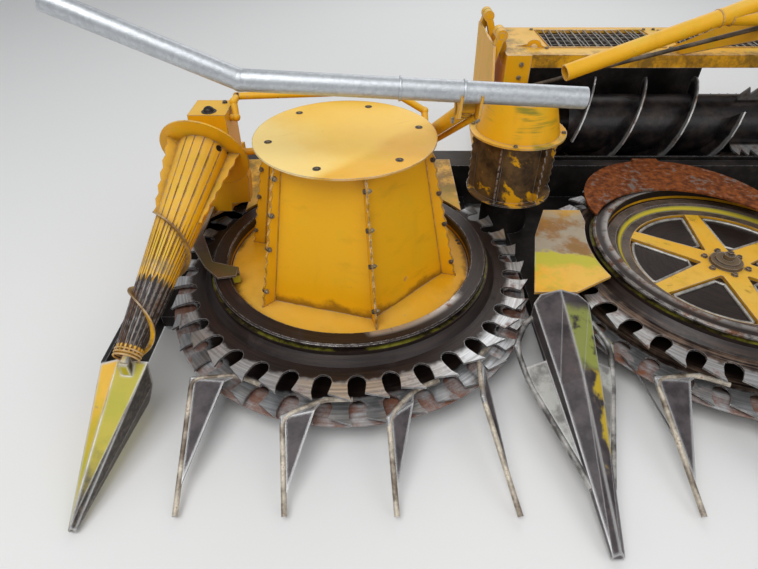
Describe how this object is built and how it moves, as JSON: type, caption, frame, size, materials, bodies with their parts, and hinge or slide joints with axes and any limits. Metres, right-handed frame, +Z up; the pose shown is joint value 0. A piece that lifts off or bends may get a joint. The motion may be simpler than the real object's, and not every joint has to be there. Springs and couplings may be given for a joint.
{
  "type": "rotary forage header",
  "caption": "Wide folding forage header: toothed rotors with drums behind pointed dividers cut a standing crop and pass it back to a cross auger.",
  "frame": {"origin": "on the floor, under the middle of the header's outline", "axes": "+X across the width to the right seen from the front, -Y the direction of travel, +Z up"},
  "size_m": [6, 2.594, 1.2136],
  "materials": {
    "yellow_paint": "warm yellow paint, faded on top, worn through and rusty at its edges",
    "disc_steel": "dark brown steel polished by the crop, bright at the tooth edges",
    "point_steel": "dark worn steel with bright edges and remains of yellow paint",
    "dark_steel": "black paint under dry dirt",
    "auger_steel": "black, polished by the crop",
    "rusty_steel": "red-brown rust with grey patches",
    "galvanised": "dull galvanised steel"
  },
  "bodies": {
    "middle": {"gear_beam": "dark_steel", "auger_trough": "dark_steel", "rear_wall": "dark_steel", "adapter_frame": "yellow_paint", "drive_housing": "dark_steel", "top_deck": "yellow_paint", "deck_grilles": "dark_steel", "end_plate_left": "yellow_paint", "end_plate_right": "yellow_paint", "crescent_plates": "rusty_steel", "cover_plates": "yellow_paint", "divider_snouts": "point_steel", "centre_points": "point_steel", "centre_push_bar": "yellow_paint", "bar_supports": "yellow_paint", "bar_stays": "dark_steel"},
    "auger": {"auger_tube": "auger_steel", "auger_flights": "auger_steel"},
    "wing_left": {"wing_frame_left": "dark_steel", "wing_hinge_left": "yellow_paint", "wing_cover_left": "yellow_paint", "wing_points_left": "point_steel", "wing_snout_left": "point_steel", "side_bearing_left": "yellow_paint", "wing_push_bar_left": "galvanised", "wing_bar_arms_left": "yellow_paint", "wing_guard_left": "yellow_paint"},
    "inner_rotor_left": {"inner_discs_left": "disc_steel", "spoked_cap_left": "yellow_paint"},
    "outer_rotor_left": {"outer_discs_left": "disc_steel", "drum_left": "yellow_paint", "drum_strips_left": "yellow_paint"},
    "feed_left": {"feed_drum_left": "disc_steel", "feed_hat_left": "yellow_paint"},
    "side_left": {"side_drum_left": "yellow_paint", "side_helix_left": "yellow_paint"},
    "wing_right": {"wing_frame_right": "dark_steel", "wing_hinge_right": "yellow_paint", "wing_cover_right": "yellow_paint", "wing_points_right": "point_steel", "wing_snout_right": "point_steel", "side_bearing_right": "yellow_paint", "wing_push_bar_right": "galvanised", "wing_bar_arms_right": "yellow_paint", "wing_guard_right": "yellow_paint"},
    "inner_rotor_right": {"inner_discs_right": "disc_steel", "spoked_cap_right": "yellow_paint"},
    "outer_rotor_right": {"outer_discs_right": "disc_steel", "drum_right": "yellow_paint", "drum_strips_right": "yellow_paint"},
    "feed_right": {"feed_drum_right": "disc_steel", "feed_hat_right": "yellow_paint"},
    "side_right": {"side_drum_right": "yellow_paint", "side_helix_right": "yellow_paint"}
  },
  "joints": [
    {"name": "wing_fold_left", "type": "hinge", "parent": "middle", "child": "wing_left", "pos_m": [-1.56, 0.965, 0.8], "axis": [0, 1, 0], "range_deg": [0, 180]},
    {"name": "inner_rotor_left_spin", "type": "hinge", "parent": "middle", "child": "inner_rotor_left", "pos_m": [-0.75, -0.235, 0.15], "axis": [0, 0, 1], "continuous": true},
    {"name": "outer_rotor_left_spin", "type": "hinge", "parent": "wing_left", "child": "outer_rotor_left", "pos_m": [-2.25, -0.235, 0.15], "axis": [0, 0, 1], "continuous": true},
    {"name": "feed_left_spin", "type": "hinge", "parent": "middle", "child": "feed_left", "pos_m": [-1.54, 0.265, 0.4], "axis": [0, 0, 1], "continuous": true},
    {"name": "side_left_spin", "type": "hinge", "parent": "wing_left", "child": "side_left", "pos_m": [-2.905, -0.827, 0.285], "axis": [0.1411, 0.9148, 0.3783], "continuous": true},
    {"name": "wing_fold_right", "type": "hinge", "parent": "middle", "child": "wing_right", "pos_m": [1.56, 0.965, 0.8], "axis": [0, -1, 0], "range_deg": [0, 180]},
    {"name": "inner_rotor_right_spin", "type": "hinge", "parent": "middle", "child": "inner_rotor_right", "pos_m": [0.75, -0.235, 0.15], "axis": [0, 0, 1], "continuous": true},
    {"name": "outer_rotor_right_spin", "type": "hinge", "parent": "wing_right", "child": "outer_rotor_right", "pos_m": [2.25, -0.235, 0.15], "axis": [0, 0, 1], "continuous": true},
    {"name": "feed_right_spin", "type": "hinge", "parent": "middle", "child": "feed_right", "pos_m": [1.54, 0.265, 0.4], "axis": [0, 0, 1], "continuous": true},
    {"name": "side_right_spin", "type": "hinge", "parent": "wing_right", "child": "side_right", "pos_m": [2.905, -0.827, 0.285], "axis": [-0.1411, 0.9148, 0.3783], "continuous": true},
    {"name": "auger_spin", "type": "hinge", "parent": "middle", "child": "auger", "pos_m": [0, 0.815, 0.34], "axis": [1, 0, 0], "continuous": true}
  ]
}
